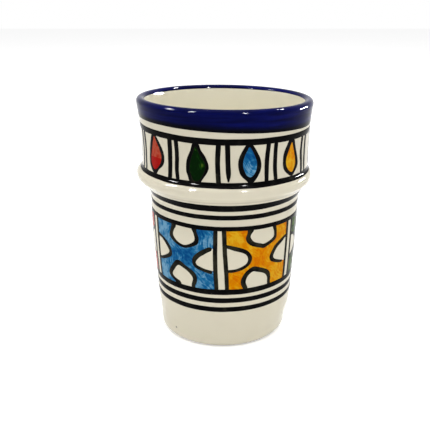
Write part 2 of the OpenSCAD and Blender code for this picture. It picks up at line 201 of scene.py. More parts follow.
# Places of a band's points across it, which lie closer at its edges
BAND_SHARES = (0, 0.05, 0.12, 0.22, 0.36, 0.5, 0.64, 0.78, 0.88, 0.95, 1)
# Steps round a band beyond the wall's own, and height of its paint against a stroke's
BAND_EXTRA_STEPS, BAND_FULLNESS = 120, 1.3
# Spacing of the points on the drawn lines
DROP_STEP, PANEL_STEP, STROKE_STEP = 0.4 * MM, 0.5 * MM, 0.5 * MM
# Least share of a grid cell's side that a patch's edge cuts off, and share of a wash's height at its edge
CUT_MARGIN, WASH_SKIN = 0.05, 0.25
# Seed of the brush's wander
BRUSH_SEED = 3.0
# A panel's wash: gap to the dividers' turns in degrees, reach under the bands, and thinness without dabs
PANEL_INSET, PANEL_OVERLAP, PANEL_THINNESS = 4, 0.35 * MM, 0.5
# How far its outlines are fuller than drawn, outside, inside and under the bands
OUTLINE_OUTSIDE, OUTLINE_INSIDE, OUTLINE_OVERLAP = 0.12 * MM, 0.04 * MM, 0.3 * MM
# Water in the black of its outlines and of the dividers
OUTLINE_WATER, DIVIDER_WATER = 0.2, 0.22
# The cobalt lip: spacing of its section's points, and rows of its mesh
RIM_STEP, RIM_ROWS = 0.3 * MM, 56
# Its depth inside the lip, and how much less that is at the sides, in mm
RIM_INSIDE, RIM_INSIDE_CHANGE = 1.6, 0.25
# Waves of its edges round the cup and their phase, and their strength on the outer and the inner edge
RIM_WAVES, RIM_PHASE, RIM_HAND, RIM_INSIDE_HAND = (2, 3, 5, 8, 13), 1.7, 0.8, 1.2
# Steps by which the inner edge's waves are turned, and height of the coat against a stroke's
RIM_INSIDE_TURN, RIM_FULLNESS = 60, 1.2
# Angles between faces from which an edge stays sharp, on clay and on glaze and paint
CLAY_SHARP, PAINT_SHARP = math.radians(40), math.radians(50)
# Distances under which points are one, on the wall and on paint
WALL_WELD, PAINT_WELD = 1e-7, 1e-6
# Slow unevenness of the wall: waves round it, their strength and phase, and climb for each radian
UNEVENNESS = ((2, 1, 0.7, 17 * MM), (3, 0.7, -1.9, -23 * MM))
# The floor: half its side, its paper's grey, and the glow that it shows to the eye
FLOOR_HALF, PAPER_GREY, PAPER_GLOW = 3, 0.86, 0.36
# Size and height of the soft light overhead, and the camera's sensor in mm and nearest sight
OVERHEAD_SIZE, OVERHEAD_H = 1.2, 1.3
SENSOR, NEAREST = 36, 0.01
# Lamps that show only in the gloss, 1 m from the belt's middle: turn from the front and rise in degrees,
# and width and height of the face
LAMPS = ((-83, 39, 0.16, 0.2), (-43, 30, 0.1, 0.32), (27, 29, 0.08, 0.3), (110, 50, 0.13, 0.12),
         (118, 5, 0.36, 0.08))


def linear(code):
    """Linear RGB of an sRGB hex colour."""
    parts = [int(code[i:i + 2], 16) / 255 for i in (0, 2, 4)]
    return tuple(p / 12.92 if p <= 0.04045 else ((p + 0.055) / 1.055) ** 2.4 for p in parts)


def low_of(node):
    """Height of the CAD node's lower end."""
    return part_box(node)[0].z


def high_of(node):
    """Height of the CAD node's upper end."""
    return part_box(node)[1].z


def setting(name, default, description, **more):
    """Setting with a plain value."""
    return FloatProperty(name=name, default=default, description=description, **more)


def length(name, default, description):
    """Setting in metres."""
    return setting(name, default, description, unit="LENGTH", precision=5)


def colour(name, code, description):
    """Setting with a colour."""
    return FloatVectorProperty(name=name, default=linear(code), description=description,
                               subtype="COLOR", size=3, min=0, max=1)


class CupShape(bpy.types.PropertyGroup):
    """Sizes of the thrown wall and of the brushwork on it."""
    turn_steps: IntProperty(name="Steps round", default=240, description="Corners round the turned coats")
    wall_step: length("Wall step", 0.7 * MM, "Spacing of the points down the turned coats")
    lip_lean: setting("Lip lean", -0.014, "Fall of the lip towards the right")
    lip_back: setting("Lip back", -0.002, "Fall of the lip towards the back")
    lip_drop: length("Lip drop", 0.25 * MM, "Height that the lip lost in the drying")
    collar_shift: length("Collar shift", 0.5 * MM, "Distance that the collar sits off centre to the right")
    belt_shift: length("Belt shift", 0.15 * MM, "Distance that the belt sits off centre to the left")
    belt_fall: length("Belt fall", 0.35 * MM, "Fall of the belt towards the right")
    base_shift: length("Base shift", 0.6 * MM, "Distance that the base sits off centre to the left")
    base_swell: length("Base swell", 0.4 * MM, "Fullness of the wall above the rounded bottom edge")
    base_lift: length("Base lift", 0.45 * MM, "Rise of the rounded bottom edge towards the right")
    ripple: length("Throwing ripple", 0.012 * MM, "Height of the rings that the potter's fingers left")
    ripple_pitch: length("Ripple pitch", 3.4 * MM, "Rise of the wall for each of those rings")
    waver: length("Waver", 0.1 * MM, "Depth of the wall's slow unevenness")
    unroll_radius: length("Unroll radius", 36 * MM, "Radius at which the drawings are laid flat")
    cell: length("Drawing cell", 0.3 * MM, "Spacing of the points of a painted patch")
    margin: length("Drawing margin", 2.5 * MM, "Room round a drawing for the width of its strokes")
    wash_rise: length("Wash rise", 0.04 * MM, "Height of a thin wash of colour above the glaze")
    paint_skin: length("Paint skin", 0.045 * MM, "Height of the black paint at its very edge")
    paint_rise: length("Paint rise", 0.07 * MM, "Further height of the black paint inside its edge")
    paint_edge: length("Paint edge", 0.3 * MM, "Width over which a stroke of paint rises from its edge")
    paint_bed: length("Paint bed", 0.1 * MM, "Depth to which the paint has sunk into the glaze")
    hand: length("Hand", 0.16 * MM, "Depth of the brush's wander")
    hand_grain: length("Hand grain", 11 * MM, "Length of the brush's wander")
    rim_tilt: length("Rim tilt", -1.35 * MM, "Fall of the cobalt band's edge towards the right")
    rim_drop: length("Rim drop", 0.15 * MM, "How far the cobalt ran down in the firing")


class CupColours(bpy.types.PropertyGroup):
    """Colours of the clay, the glazes and the paints."""
    clay: colour("Clay", "C79A77", "Bare fired clay of the foot")
    white: colour("White glaze", "E5DEC8", "White glaze outside")
    # The liner is lighter than the outer white: painted light that makes up for the shade inside the cup.
    liner: colour("Liner glaze", "E9E4D0", "White glaze inside, which is a little warmer")
    cobalt: colour("Cobalt", "04083F", "Cobalt glaze of the lip")
    black: colour("Black", "040405", "Black brushwork")
    red: colour("Red", "A60800", "Red of the drops and panels, where it lies thick")
    red_thin: colour("Thin red", "B44C34", "Red where it lies thin")
    green: colour("Green", "011D01", "Green where it lies thick")
    green_thin: colour("Thin green", "466018", "Green where it lies thin")
    blue: colour("Blue", "044A84", "Blue where it lies thick")
    blue_thin: colour("Thin blue", "6EA2C2", "Blue where it lies thin")
    yellow: colour("Orange", "D67000", "Orange where it lies thick")
    yellow_thin: colour("Yellow", "E2AE20", "Yellow, which is the orange where it lies thin")


class CupStage(bpy.types.PropertyGroup):
    """Camera and light."""
    distance: length("Camera distance", 0.32315, "Distance of the camera from its target")
    drop: setting("Camera drop", math.radians(18.884), "Angle at which the camera looks down",
                  subtype="ANGLE")
    target: length("Target height", 0.057, "Height on the cup's axis that the camera looks at")
    lens: setting("Lens", 54.1, "Focal length in millimetres on a 36 mm sensor")
    shift: setting("Shift", -9.3 / 430, "Sideways shift of the picture")
    fill: setting("Fill", 0.66, "Level of the soft light from all round")
    overhead: setting("Overhead", 12.5, "Power of the soft light overhead, in watts")
    lamp: setting("Lamps", 700.0, "Brightness of the small lamps' faces")


# Turned wall


def spline(points, gap, closed=False):
    """Smooth line through the points, with points at most gap apart."""
    p = np.array(points, float)
    if closed:
        p = np.vstack([p[-1], p, p[0], p[1]])
    else:
        p = np.vstack([2 * p[0] - p[1], p, 2 * p[-1] - p[-2]])
    found = []
    for a, b, c, d in zip(p, p[1:], p[2:], p[3:]):
        times = np.cumsum([0] + [math.sqrt(np.linalg.norm(k)) for k in (b - a, c - b, d - c)])
        steps = max(1, math.ceil(np.linalg.norm(c - b) / gap))
        t = np.linspace(times[1], times[2], steps, endpoint=False)[:, None]

        def between(u, v, i, j):
            return ((times[j] - t) * u + (t - times[i]) * v) / (times[j] - times[i])

        ab, bc, cd = between(a, b, 0, 1), between(b, c, 1, 2), between(c, d, 2, 3)
        found.append(between(between(ab, bc, 0, 2), between(bc, cd, 1, 3), 1, 2))
    if not closed:
        found.append(p[-2:-1])
    return np.vstack(found)


def section(node):
    """Corners of a turned CAD node's section, (radius, height), in order.

    It runs from the axis to the axis, or from the lip's crest down the outer face where it is a loop."""
    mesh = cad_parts[node].data
    corners = {v.index: (round(v.co.x, 7), round(v.co.z, 7))
               for v in mesh.vertices if abs(v.co.y) < WALL_WELD and v.co.x > -WALL_WELD}
    links = {}
    for edge in mesh.edges:
        a, b = (corners.get(i) for i in edge.vertices)
        if a and b and a != b:
            links.setdefault(a, set()).add(b)
            links.setdefault(b, set()).add(a)
    ends = [p for p in links if len(links[p]) == 1]
    start = max(ends or links, key=lambda p: p[1])
    chain = [start]
    step = max(links[start], key=lambda p: p[0])
    while step and step != start:
        chain.append(step)
        step = next((p for p in links[step] if p != chain[-2] and p not in chain[1:]), None)
    return [(0.0, chain[0][1]), *chain, (0.0, chain[-1][1])] if ends else chain


def blend_up(value, low, high):
    """0 below low, 1 above high and smooth between."""
    t = np.clip((value - low) / (high - low), 0, 1)
    return t * t * (3 - 2 * t)


def bell(value, middle, reach):
    """1 at the middle, falling to nothing within a few times the reach."""
    return np.exp(-((value - middle) / reach) ** 2)


def thrown(r, z, a):
    """Points of the true section at turn a on the thrown wall, with its lean, shifts and finger rings."""
    shape = bpy.context.scene.cup_shape
    lip = blend_up(z, *LIP_ZONE)
    collar = blend_up(z, *COLLAR_ZONE) - 0.5 * lip
    belt = bell(z, BELT_H, BELT_REACH)
    base = 1 - blend_up(z, *BASE_ZONE)
    edge = blend_up(z, *FOOT_ZONE) - blend_up(z, *EDGE_ZONE)
    outer = blend_up(r, *OUTER_ZONE)
    wall = outer * blend_up(z, *WALL_ZONE)
    ring = 2 * math.pi * z / shape.ripple_pitch - a
    slow = sum(strength * np.sin(waves * a + phase + z / climb)
               for waves, strength, phase, climb in UNEVENNESS)
    swell = bell(z, SWELL_H, SWELL_REACH)
    r = r + wall * (shape.ripple * np.sin(ring) + 0.5 * shape.waver * slow + shape.base_swell * swell)
    x = r * np.sin(a) + shape.collar_shift * collar - (shape.collar_shift + shape.belt_shift) * belt
    x, y = x - shape.base_shift * base, -r * np.cos(a)
    upper = blend_up(z, *UPPER_ZONE)
    z = z + (shape.lip_lean * x + shape.lip_back * y) * upper - shape.lip_drop * lip
    z = z + outer * (shape.base_lift * edge - shape.belt_fall * belt) * np.sin(a)
    return np.stack(np.broadcast_arrays(x, y, z), axis=-1)


def turns():
    """Turns of the corners round the turned coats."""
    return np.linspace(0, 2 * math.pi, bpy.context.scene.cup_shape.turn_steps, endpoint=False)


def ring_mesh(name, rows, closed):
    """Mesh through rows of points round the axis, with its poles merged and its faces outwards."""
    count, around = rows.shape[:2]
    faces = []
    for i in range(count if closed else count - 1):
        low, high = i * around, (i + 1) % count * around
        for j in range(around):
            k = (j + 1) % around
            faces.append((low + j, low + k, high + k, high + j))
    mesh = bpy.data.meshes.new(name)
    mesh.from_pydata(rows.reshape(-1, 3).tolist(), [], faces)
    shell = bmesh.new()
    shell.from_mesh(mesh)
    bmesh.ops.remove_doubles(shell, verts=shell.verts, dist=WALL_WELD)
    bmesh.ops.recalc_face_normals(shell, faces=shell.faces)
    shell.to_mesh(mesh)
    shell.free()
    mesh.shade_smooth()
    return mesh


def turned(name, points, closed):
    """Thrown coat of the section's points."""
    points = np.array(points)
    return ring_mesh(name, thrown(points[:, :1], points[:, 1:], turns()[None, :]), closed)


def placed(name, data):
    """New object in the scene."""
    made = bpy.data.objects.new(name, data)
    bpy.context.collection.objects.link(made)
    return made


def piece(name, mesh, material, slot, *nodes):
    """Object of the finished mesh with its material, which stands for CAD nodes."""
    made = placed(name, mesh)
    mesh.materials.clear()
    mesh.materials.append(material)
    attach(made, "root")
    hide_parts(*nodes)


GROUND = section("ground_glaze")
GROUND_FOOT = min(range(len(GROUND)), key=lambda i: GROUND[i][1])
LINER = section("liner_glaze")
LINER_CREST = max(range(len(LINER)), key=lambda i: LINER[i][1])
CUP_H = GROUND[0][1]
# The belt is the widest place below the lip, and a crease lies between it and the first line.
BELT_R, BELT_H = max(p for p in GROUND if p[1] < 0.8 * CUP_H)
CREASE_H = high_of("neck_line_upper") + 1.4 * MM
# Heights between which each part of the wall comes in, and radii between which the outer wall does
LIP_ZONE, COLLAR_ZONE, UPPER_ZONE = (
    (low * CUP_H, high * CUP_H) for low, high in ((0.8, 0.97), (0.52, 0.66), (0.5, 0.95)))
FOOT_ZONE, BASE_ZONE, EDGE_ZONE, WALL_ZONE = (
    (low * MM, high * MM) for low, high in ((0.3, 3), (3, 16), (6, 16), (4, 12)))
OUTER_ZONE = 0.3 * BELT_R, 0.7 * BELT_R
# Half heights of the belt and of the swell above the bottom edge, and the height of that swell
BELT_REACH, SWELL_REACH, SWELL_H = 4 * MM, 8 * MM, 18 * MM


# Flat drawings


def flat(points):
    """Drawn points in metres on the unrolled wall."""
    radius = bpy.context.scene.cup_shape.unroll_radius
    return np.array([(math.radians(turn) * radius, height * MM) for turn, height in points])


def tilt_between(low_band, high_band):
    """Heights of the edges that a drawing lies between, and how far each falls towards the right."""
    return (high_of(low_band), low_of(high_band),
            BAND_EDGES[low_band][1][1] * MM, BAND_EDGES[high_band][0][1] * MM)


def levelled(points, zone):
    """The drawn points as they lie with the bands level."""
    low, high, low_fall, high_fall = zone
    radius = bpy.context.scene.cup_shape.unroll_radius
    share = (points[:, 1] - low) / (high - low)
    fall = (low_fall + (high_fall - low_fall) * share) * np.sin(points[:, 0] / radius)
    return np.column_stack([points[:, 0], points[:, 1] - fall])


def closed_line(points, zone, step):
    """Smooth closed line through drawn points, as it lies with the bands level."""
    return spline(levelled(flat(points), zone), step, True)


def lengths(line):
    """Lengths of a line's parts, and length along it up to each of its points."""
    parts = np.linalg.norm(np.diff(line, axis=0), axis=1)
    return parts, np.concatenate([[0], np.cumsum(parts)])


def away(x, y, line):
    """Distance of grid points from a line, and the share of the line's length at the nearest place."""
    best = np.full(x.shape, np.inf)
    along = np.zeros(x.shape)
    sizes, starts = lengths(line)
    for a, b, size, start in zip(line, line[1:], sizes, starts):
        way = (b - a) / size
        t = np.clip((x - a[0]) * way[0] + (y - a[1]) * way[1], 0, size)
        gap = np.hypot(x - a[0] - t * way[0], y - a[1] - t * way[1])
        nearer = gap < best
        best = np.where(nearer, gap, best)
        along = np.where(nearer, (start + t) / starts[-1], along)
    return best, along


def from_loop(x, y, loop):
    """Distance of grid points from a closed line, negative inside it."""
    ring = np.vstack([loop, loop[:1]])
    inside = np.zeros(x.shape, bool)
    for a, b in zip(ring, ring[1:]):
        if a[1] != b[1]:
            crosses = (a[1] > y) != (b[1] > y)
            inside ^= crosses & (x < (b[0] - a[0]) * (y - a[1]) / (b[1] - a[1]) + a[0])
    return np.where(inside, -1, 1) * away(x, y, ring)[0]


def from_stroke(x, y, line, widths):
    """Distance of grid points from the edge of a brush stroke, with its widths at the line's points."""
    gap, along = away(x, y, line)
    starts = lengths(line)[1]
    return gap - 0.5 * np.interp(along, starts / starts[-1], widths)


def grid_over(*lines):
    """Grid of points over the lines, with a margin."""
    shape = bpy.context.scene.cup_shape
    every = np.vstack(lines)
    low, high = every.min(0) - shape.margin, every.max(0) + shape.margin
    return np.meshgrid(np.arange(low[0], high[0], shape.cell), np.arange(low[1], high[1], shape.cell))


def strokes_field(pair, zone):
    """Grid over some strokes, and the distance of its points from their edges."""
    drawn = []
    for line in pair:
        points = levelled(flat([p[:2] for p in line]), zone)
        drawn.append(spline(np.column_stack([points, [p[2] * MM for p in line]]), STROKE_STEP))
    x, y = grid_over(*(line[:, :2] for line in drawn))
    return x, y, np.minimum.reduce([from_stroke(x, y, line[:, :2], line[:, 2]) for line in drawn])


def dabbed(points, dabs):
    """Change of a wash's thinness at flat points."""
    total = np.zeros(len(points))
    for turn, height, reach, change in dabs:
        gap = np.linalg.norm(points - flat([(turn, height)]), axis=1)
        total += 0.5 * change * bell(gap, 0, reach * MM)
    return total


def raised(depth, skin, rise):
    """Height of paint at a depth inside its edge."""
    return skin + rise * (1 - np.exp(-depth / bpy.context.scene.cup_shape.paint_edge))


def cushion(points, polygons, layers, skin, rise):
    """Closed flat patch: points and polygons of its face and bed, and its points' named values.

    Among those, depth is the distance from the patch's edge, with which the paint rises from its skin."""
    count = len(points)
    face = np.column_stack([points, raised(layers["depth"], skin, rise)])
    bed = np.column_stack([points, np.full(count, -bpy.context.scene.cup_shape.paint_bed)])
    edges = dict.fromkeys(pair for polygon in polygons for pair in zip(polygon, polygon[1:] + polygon[:1]))
    sides = [(b, a, a + count, b + count) for a, b in edges if (b, a) not in edges]
    beds = [[i + count for i in reversed(polygon)] for polygon in polygons]
    layers = {name: np.concatenate([values, values]) for name, values in layers.items()}
    return np.vstack([face, bed]), polygons + sides + beds, layers


def patch(x, y, field, thinness=None):
    """Cushion of black where the field over the grid is below zero, cut along its zero line.

    With the function thinness it is a wash of colour instead, which lies that thin at its points."""
    shape = bpy.context.scene.cup_shape
    points, depth, index, polygons = [], [], {}, []

    def corner(a):
        if a not in index:
            index[a] = len(points)
            points.append((x[a], y[a]))
            depth.append(-field[a])
        return index[a]

    def crossing(a, b):
        key = (min(a, b), max(a, b))
        if key not in index:
            a, b = key
            t = min(1 - CUT_MARGIN, max(CUT_MARGIN, field[a] / (field[a] - field[b])))
            index[key] = len(points)
            points.append((x[a] + (x[b] - x[a]) * t, y[a] + (y[b] - y[a]) * t))
            depth.append(0.0)
        return index[key]

    below = field < 0
    used = below[:-1, :-1] | below[1:, :-1] | below[:-1, 1:] | below[1:, 1:]
    for i, j in zip(*np.nonzero(used)):
        ring = ((i, j), (i, j + 1), (i + 1, j + 1), (i + 1, j))
        polygon = []
        for a, b in zip(ring, ring[1:] + ring[:1]):
            if below[a]:
                polygon.append(corner(a))
            if below[a] != below[b]:
                polygon.append(crossing(a, b))
        polygons.append(polygon)
    points = np.array(points)
    layers = {"depth": np.array(depth)}
    if thinness is None:
        return cushion(points, polygons, layers, shape.paint_skin, shape.paint_rise)
    layers["thinness"] = thinness(points)
    return cushion(points, polygons, layers, WASH_SKIN * shape.wash_rise, (1 - WASH_SKIN) * shape.wash_rise)


def ring_strip(node):
    """Flat strip of a whole band, from the back round to the back, between its own two edges."""
    shape = bpy.context.scene.cup_shape
    around = shape.turn_steps + BAND_EXTRA_STEPS
    turn = np.linspace(-math.pi, math.pi, around + 1)
    front = np.maximum(np.cos(turn), 0) ** 2
    low, high = (
        height + MM * (rise + right * np.sin(turn) + ahead * front)
        for height, (rise, right, ahead) in zip((low_of(node), high_of(node)), BAND_EDGES[node]))
    share = np.array(BAND_SHARES + BAND_SHARES[::-1])
    rows = len(share)
    depth = (high - low)[:, None] * np.minimum(share, 1 - share)
    lift = raised(depth, shape.paint_skin, BAND_FULLNESS * shape.paint_rise)
    lift[:, rows // 2:] = -shape.paint_bed
    height = low[:, None] + (high - low)[:, None] * share
    points = np.stack(np.broadcast_arrays(turn[:, None] * shape.unroll_radius, height, lift), axis=-1)
    polygons = []
    for start in range(0, around * rows, rows):
        for j in range(rows):
            k = (j + 1) % rows
            polygons.append((start + j, start + rows + j, start + rows + k, start + k))
    return points.reshape(-1, 3), polygons, {"depth": depth.reshape(-1)}


def centred(sheet, turn):
    """The flat patch moved sideways, so that its own turn comes to zero."""
    points, polygons, layers = sheet
    moved = points.copy()
    moved[:, 0] -= math.radians(turn) * bpy.context.scene.cup_shape.unroll_radius
    return moved, polygons, layers


def watered(sheet, amount):
    """The flat patch of black, thinned with that much water."""
    points, polygons, layers = sheet
    return points, polygons, {**layers, "thinness": np.full(len(points), amount)}


# Helpers for node trees, and the kinds of node that come often
MATH, VECTOR, NOISE = "ShaderNodeMath", "ShaderNodeVectorMath", "ShaderNodeTexNoise"
MIX, RAMP, SPREAD = "ShaderNodeMix", "ShaderNodeValToRGB", "ShaderNodeMapRange"
COMBINE, SEPARATE = "ShaderNodeCombineXYZ", "ShaderNodeSeparateXYZ"
ATTRIBUTE, BUMP = "ShaderNodeAttribute", "ShaderNodeBump"


def feed(tree, node, inputs):
    """Sets or links a node's inputs, by name or in order. A linked node stands for its first output."""
    for key, value in inputs.items() if isinstance(inputs, dict) else enumerate(inputs):
        if isinstance(value, bpy.types.Node):
            value = value.outputs[0]
        if isinstance(value, bpy.types.NodeSocket):
            tree.links.new(value, node.inputs[key])
        else:
            node.inputs[key].default_value = value


def add(tree, kind, inputs=(), operation=None, stops=None, **settings):
    """Adds a node with its settings and inputs. Stops are the colours of a ramp."""
    made = tree.nodes.new(kind)
    if operation:
        made.operation = operation
    for key, value in settings.items():
        setattr(made, key, value)
    feed(tree, made, inputs)
    if stops:
        ramp = made.color_ramp.elements
        while len(ramp) < len(stops):
            ramp.new(0.5)
        for element, (place, shade) in zip(ramp, stops):
            element.position = place
            element.color = (*shade, 1)
    return made


# Tree that lays a flat drawing on the wall


def laying_tree():
    """Tree that repeats a flat drawing at places round the cup and lays it on the wall."""
    name = "Lay paint on the wall"
    if name in bpy.data.node_groups:
        return bpy.data.node_groups[name]
    tree = bpy.data.node_groups.new(name, "GeometryNodeTree")
    tree.interface.new_socket("Geometry", in_out="OUTPUT", socket_type="NodeSocketGeometry")
    for kind, labels in (
            ("Geometry", ("Drawing",)), ("Object", ("Wall", "Places")), ("Material", ("Paint",)),
            ("Float", ("Radius", "Low", "High", "Low fall", "High fall", "Hand", "Grain", "Seed"))):
        for label in labels:
            tree.interface.new_socket(label, in_out="INPUT", socket_type="NodeSocket" + kind)

    given = add(tree, "NodeGroupInput").outputs
    radius, low, low_fall = given["Radius"], given["Low"], given["Low fall"]
    wall, places = (
        add(tree, "GeometryNodeObjectInfo", {"Object": given[label]}, transform_space="RELATIVE")
        for label in ("Wall", "Places"))
    stretch = add(tree, "GeometryNodeInputNamedAttribute", {"Name": "stretch"}, data_type="FLOAT_VECTOR")
    copies = add(tree, "GeometryNodeInstanceOnPoints", {
        "Points": places.outputs["Geometry"], "Instance": given["Drawing"], "Scale": stretch})
    sheets = add(tree, "GeometryNodeRealizeInstances", {"Geometry": copies})

    across, up, lift = add(tree, SEPARATE, (add(tree, "GeometryNodeInputPosition"),)).outputs
    turn = add(tree, MATH, (across, radius), "DIVIDE")
    sine, cosine = (add(tree, MATH, (turn,), part) for part in ("SINE", "COSINE"))
    # The brush's wander is read on the rolled-up wall, so that it closes at the back.
    rolled = add(tree, COMBINE, (
        add(tree, MATH, (sine, radius), "MULTIPLY"),
        add(tree, MATH, (cosine, radius), "MULTIPLY"), up))
    fineness = add(tree, MATH, (1.0, given["Grain"]), "DIVIDE")
    wander = add(tree, NOISE, {
        "Vector": rolled, "W": given["Seed"], "Scale": fineness, "Detail": 1.0}, noise_dimensions="4D")
    wander = add(tree, VECTOR, (wander.outputs["Color"], (0.5, 0.5, 0.5)), "SUBTRACT")
    sideways, upwards, _ = add(tree, SEPARATE, (wander,)).outputs
    reach = add(tree, MATH, (given["Hand"], 2.0), "MULTIPLY")

    # The bands fall towards one side, and what lies between two of them follows both.
    share = add(tree, MATH, (
        add(tree, MATH, (up, low), "SUBTRACT"),
        add(tree, MATH, (given["High"], low), "SUBTRACT")), "DIVIDE")
    more = add(tree, MATH, (given["High fall"], low_fall), "SUBTRACT")
    fall = add(tree, MATH, (share, more, low_fall), "MULTIPLY_ADD")
    height = add(tree, MATH, (upwards, reach, up), "MULTIPLY_ADD")
    height = add(tree, MATH, (fall, sine, height), "MULTIPLY_ADD")
    across = add(tree, MATH, (sideways, reach, across), "MULTIPLY_ADD")
    turn = add(tree, MATH, (across, radius), "DIVIDE")

    # Each point is thrown at the wall from outside, towards the axis, and lifted along the wall's normal.
    inward = add(tree, COMBINE, (
        add(tree, MATH, (add(tree, MATH, (turn,), "SINE"), -1.0), "MULTIPLY"),
        add(tree, MATH, (turn,), "COSINE")))
    far = add(tree, MATH, (radius, -2.0), "MULTIPLY")
    source = add(tree, VECTOR, {0: inward, "Scale": far}, "SCALE")
    source = add(tree, VECTOR, (source, add(tree, COMBINE, {"Z": height})), "ADD")
    ray = add(tree, "GeometryNodeRaycast", {
        "Target Geometry": wall.outputs["Geometry"], "Attribute": add(tree, "GeometryNodeInputNormal"),
        "Source Position": source, "Ray Direction": inward,
        "Ray Length": add(tree, MATH, (radius, 2.0), "MULTIPLY")}, data_type="FLOAT_VECTOR")
    normal = add(tree, VECTOR, (ray.outputs["Attribute"],), "NORMALIZE")
    lifted = add(tree, VECTOR, {0: normal, "Scale": lift}, "SCALE")
    position = add(tree, VECTOR, (ray.outputs["Hit Position"], lifted), "ADD")
    laid = add(tree, "GeometryNodeSetPosition", {"Geometry": sheets, "Position": position})
    welded = add(tree, "GeometryNodeMergeByDistance", {"Geometry": laid, "Distance": PAINT_WELD})
    realized = add(tree, "GeometryNodeRealizeInstances", {"Geometry": welded})
    painted = add(tree, "GeometryNodeSetMaterial", {"Geometry": realized, "Material": given["Paint"]})
    add(tree, "NodeGroupOutput", (painted,))
    return tree


def mark(mesh, name, values):
    """Gives the mesh's points values of that name."""
    mesh.attributes.new(name, "FLOAT", "POINT").data.foreach_set("value", values.astype(np.float32))


def lay(sheet, places, zone, tint):
    """Mesh of a flat drawing laid on the wall at places, each a turn in degrees and a sideways stretch."""
    shape = bpy.context.scene.cup_shape
    points, polygons, layers = sheet
    drawing = bpy.data.meshes.new("drawing")
    drawing.from_pydata(points.tolist(), [], polygons)
    for name, values in layers.items():
        mark(drawing, name, values)
    row = bpy.data.meshes.new("places")
    row.from_pydata([(math.radians(turn) * shape.unroll_radius, 0, 0) for turn, _ in places], [], [])
    sizes = [value for _, stretch in places for value in (stretch, 1, 1)]
    row.attributes.new("stretch", "FLOAT_VECTOR", "POINT").data.foreach_set("vector", sizes)
    holders = [placed(mesh.name, mesh) for mesh in (drawing, row)]
    tree = laying_tree()
    low, high, low_fall, high_fall = zone
    values = {
        "Wall": bpy.data.objects["ground_glaze_coat"], "Places": holders[1], "Radius": shape.unroll_radius,
        "Low": low, "High": high, "Low fall": low_fall, "High fall": high_fall, "Hand": shape.hand,
        "Grain": shape.hand_grain, "Seed": BRUSH_SEED, "Paint": paint(tint)}
    modifier = holders[0].modifiers.new("Lay", "NODES")
    modifier.node_group = tree
    for socket in tree.interface.items_tree:
        if socket.in_out == "INPUT" and socket.name in values:
            modifier[socket.identifier] = values[socket.name]
    bpy.context.view_layer.update()
    graph = bpy.context.evaluated_depsgraph_get()
    laid = bpy.data.meshes.new_from_object(holders[0].evaluated_get(graph), depsgraph=graph)
    holders[0].modifiers.remove(modifier)
    for holder in holders:
        mesh = holder.data
        bpy.data.objects.remove(holder)
        bpy.data.meshes.remove(mesh)
    return laid


def brushed(node, meshes, tint):
    """Piece of paint for a CAD node: one smooth mesh of several, whose steep edges stay sharp."""
    whole = bmesh.new()
    for mesh in meshes:
        whole.from_mesh(mesh)
        bpy.data.meshes.remove(mesh)
    for edge in whole.edges:
        edge.smooth = len(edge.link_faces) != 2 or edge.calc_face_angle(0) < PAINT_SHARP
    for face in whole.faces:
        face.smooth = True
    mesh = bpy.data.meshes.new(node + "_brushed")
    whole.to_mesh(mesh)
    whole.free()
    piece(node + "_brushed", mesh, paint(tint), tint + "_paint", node)


# Materials

# Specks of iron in the white glaze, and the colour of them and of the clay that shows through it, which
# also paints the shade in the crease under the belt
SPECKS = ((-0.0236, -0.0219, 0.0061), (0.0195, 0.0266, 0.0141), (-0.0116, 0.0302, 0.0091))
IRON_AND_CREASE_SHADE = (*linear("3A2A1E"), 1)
# Reflection of the paints, which the fired-in oxides dull
PAINT_GLOSS = 0.02
# Real materials of the paints
PAINTS = {"black": "manganese_black", "red": "red_oxide", "green": "copper_green", "blue": "cobalt_wash",
          "yellow": "antimony_yellow"}


def finish(name):
    """New material with its node tree, shader and Object coordinates."""
    material = bpy.data.materials.new(name)
    material.use_nodes = True
    tree = material.node_tree
    shader = tree.nodes["Principled BSDF"]
    where = add(tree, "ShaderNodeTexCoord").outputs["Object"]
    return material, tree, shader, where


def fired(tree, shader, base, roughness, gloss, bloom, spread):
    """Gives the shader a fired glaze's colour and gloss, and its pale bloom where it is seen edge on."""
    feed(tree, shader, {
        "Base Color": base, "Roughness": roughness, "IOR": 1.5, "Specular IOR Level": gloss,
        "Sheen Weight": bloom, "Sheen Roughness": spread})


def rippled(tree, shader, where, pitch):
    """Gives the shader the faint ripple of a fired glaze."""
    ripple = add(tree, NOISE, {"Vector": where, "Scale": 1 / pitch, "Detail": 2.0})
    bump = add(tree, BUMP, {"Height": ripple, "Strength": 0.06, "Distance": 0.12 * MM})
    feed(tree, shader, {"Normal": bump})


def bare_clay():
    """Bisque earthenware: matt, porous and sandy, with paler and redder patches."""
    clay = bpy.context.scene.cup_colours.clay
    material, tree, shader, where = finish("bisque_earthenware")
    patches = add(tree, NOISE, {"Vector": where, "Scale": 1 / (9 * MM), "Detail": 3.0})
    sand = add(tree, NOISE, {"Vector": where, "Scale": 1 / (0.6 * MM), "Detail": 2.0})
    shade = add(tree, RAMP, (patches,), stops=(
        (0.3, [0.8 * c for c in clay]), (0.7, [min(1, 1.15 * c) for c in clay])))
    grit = add(tree, MIX, {0: 0.25, 6: shade, 7: sand.outputs[1]}, data_type="RGBA",
               blend_type="SOFT_LIGHT")
    bump = add(tree, BUMP, {"Height": sand, "Strength": 0.35, "Distance": 0.15 * MM})
    feed(tree, shader, {"Base Color": grit.outputs[2], "Normal": bump, "Roughness": 0.85})
    return material


